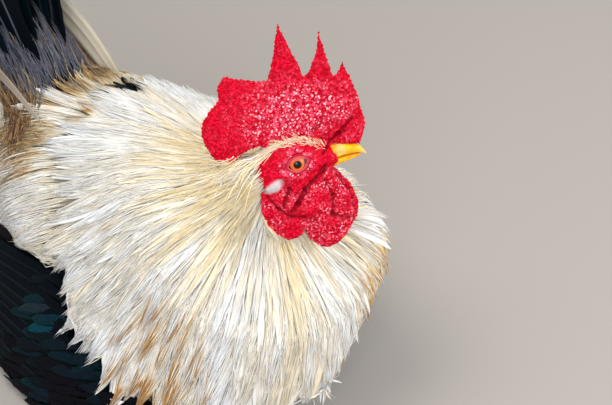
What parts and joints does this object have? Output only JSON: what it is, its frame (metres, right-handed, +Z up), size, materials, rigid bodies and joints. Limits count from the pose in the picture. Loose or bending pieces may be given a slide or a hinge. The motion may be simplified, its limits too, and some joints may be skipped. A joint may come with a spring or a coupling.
{
  "type": "rooster",
  "caption": "Life-size still model of a rooster resting on the ground with one wing let down and its head turned: red single comb and wattles, cream neck hackle, dark body and an arched tail.",
  "frame": {"origin": "on the floor, at the middle of the flat under the belly", "axes": "+Z up; the breast faces -Y and the tail +Y; +X is to the bird's left; +Y is the longest extent"},
  "size_m": [0.2344, 0.5028, 0.3911],
  "materials": {
    "black_plumage": "green-black feathers with a silky sheen",
    "hackle_plumage": "cream and white silky feathers with fine grey shaft streaks",
    "saddle_plumage": "cream to straw feathers with golden-brown tips",
    "flight_plumage": "pale flight feathers with dark inner webs",
    "red_skin": "bright red bare skin with fine papillae",
    "earlobe": "smooth white bare skin",
    "horn": "yellow horn, satin",
    "claw": "horn-brown claws, satin",
    "eye": "wet orange eye with a black pupil",
    "leg_scales": "yellow scaled skin, matt"
  },
  "bodies": {
    "root": {"beak_lower": "horn", "beak_upper": "horn", "cheek_fold_left": "red_skin", "cheek_fold_right": "red_skin", "claw_left_hind": "claw", "claw_left_inner": "claw", "claw_left_middle": "claw", "claw_left_outer": "claw", "claw_right_hind": "claw", "claw_right_inner": "claw", "claw_right_middle": "claw", "claw_right_outer": "claw", "comb": "red_skin", "earlobe_left": "earlobe", "earlobe_right": "earlobe", "eye_left": "eye", "eye_right": "eye", "foot_left": "leg_scales", "foot_right": "leg_scales", "head": "red_skin", "lesser_sickle_left_1": "hackle_plumage", "lesser_sickle_left_2": "black_plumage", "lesser_sickle_left_3": "hackle_plumage", "lesser_sickle_right_1": "hackle_plumage", "lesser_sickle_right_2": "black_plumage", "lesser_sickle_right_3": "hackle_plumage", "neck": "hackle_plumage", "saddle": "saddle_plumage", "shank_left": "leg_scales", "shank_right": "leg_scales", "sickle_left": "black_plumage", "sickle_right": "black_plumage", "spur_left": "horn", "spur_right": "horn", "tail_coverts": "black_plumage", "tail_fan_left": "black_plumage", "tail_fan_right": "black_plumage", "thigh_left": "black_plumage", "thigh_right": "black_plumage", "trunk": "black_plumage", "wattle_left": "red_skin", "wattle_right": "red_skin", "wing_flights_left": "flight_plumage", "wing_flights_right": "flight_plumage", "wing_left": "black_plumage", "wing_right": "black_plumage"}
  },
  "joints": []
}
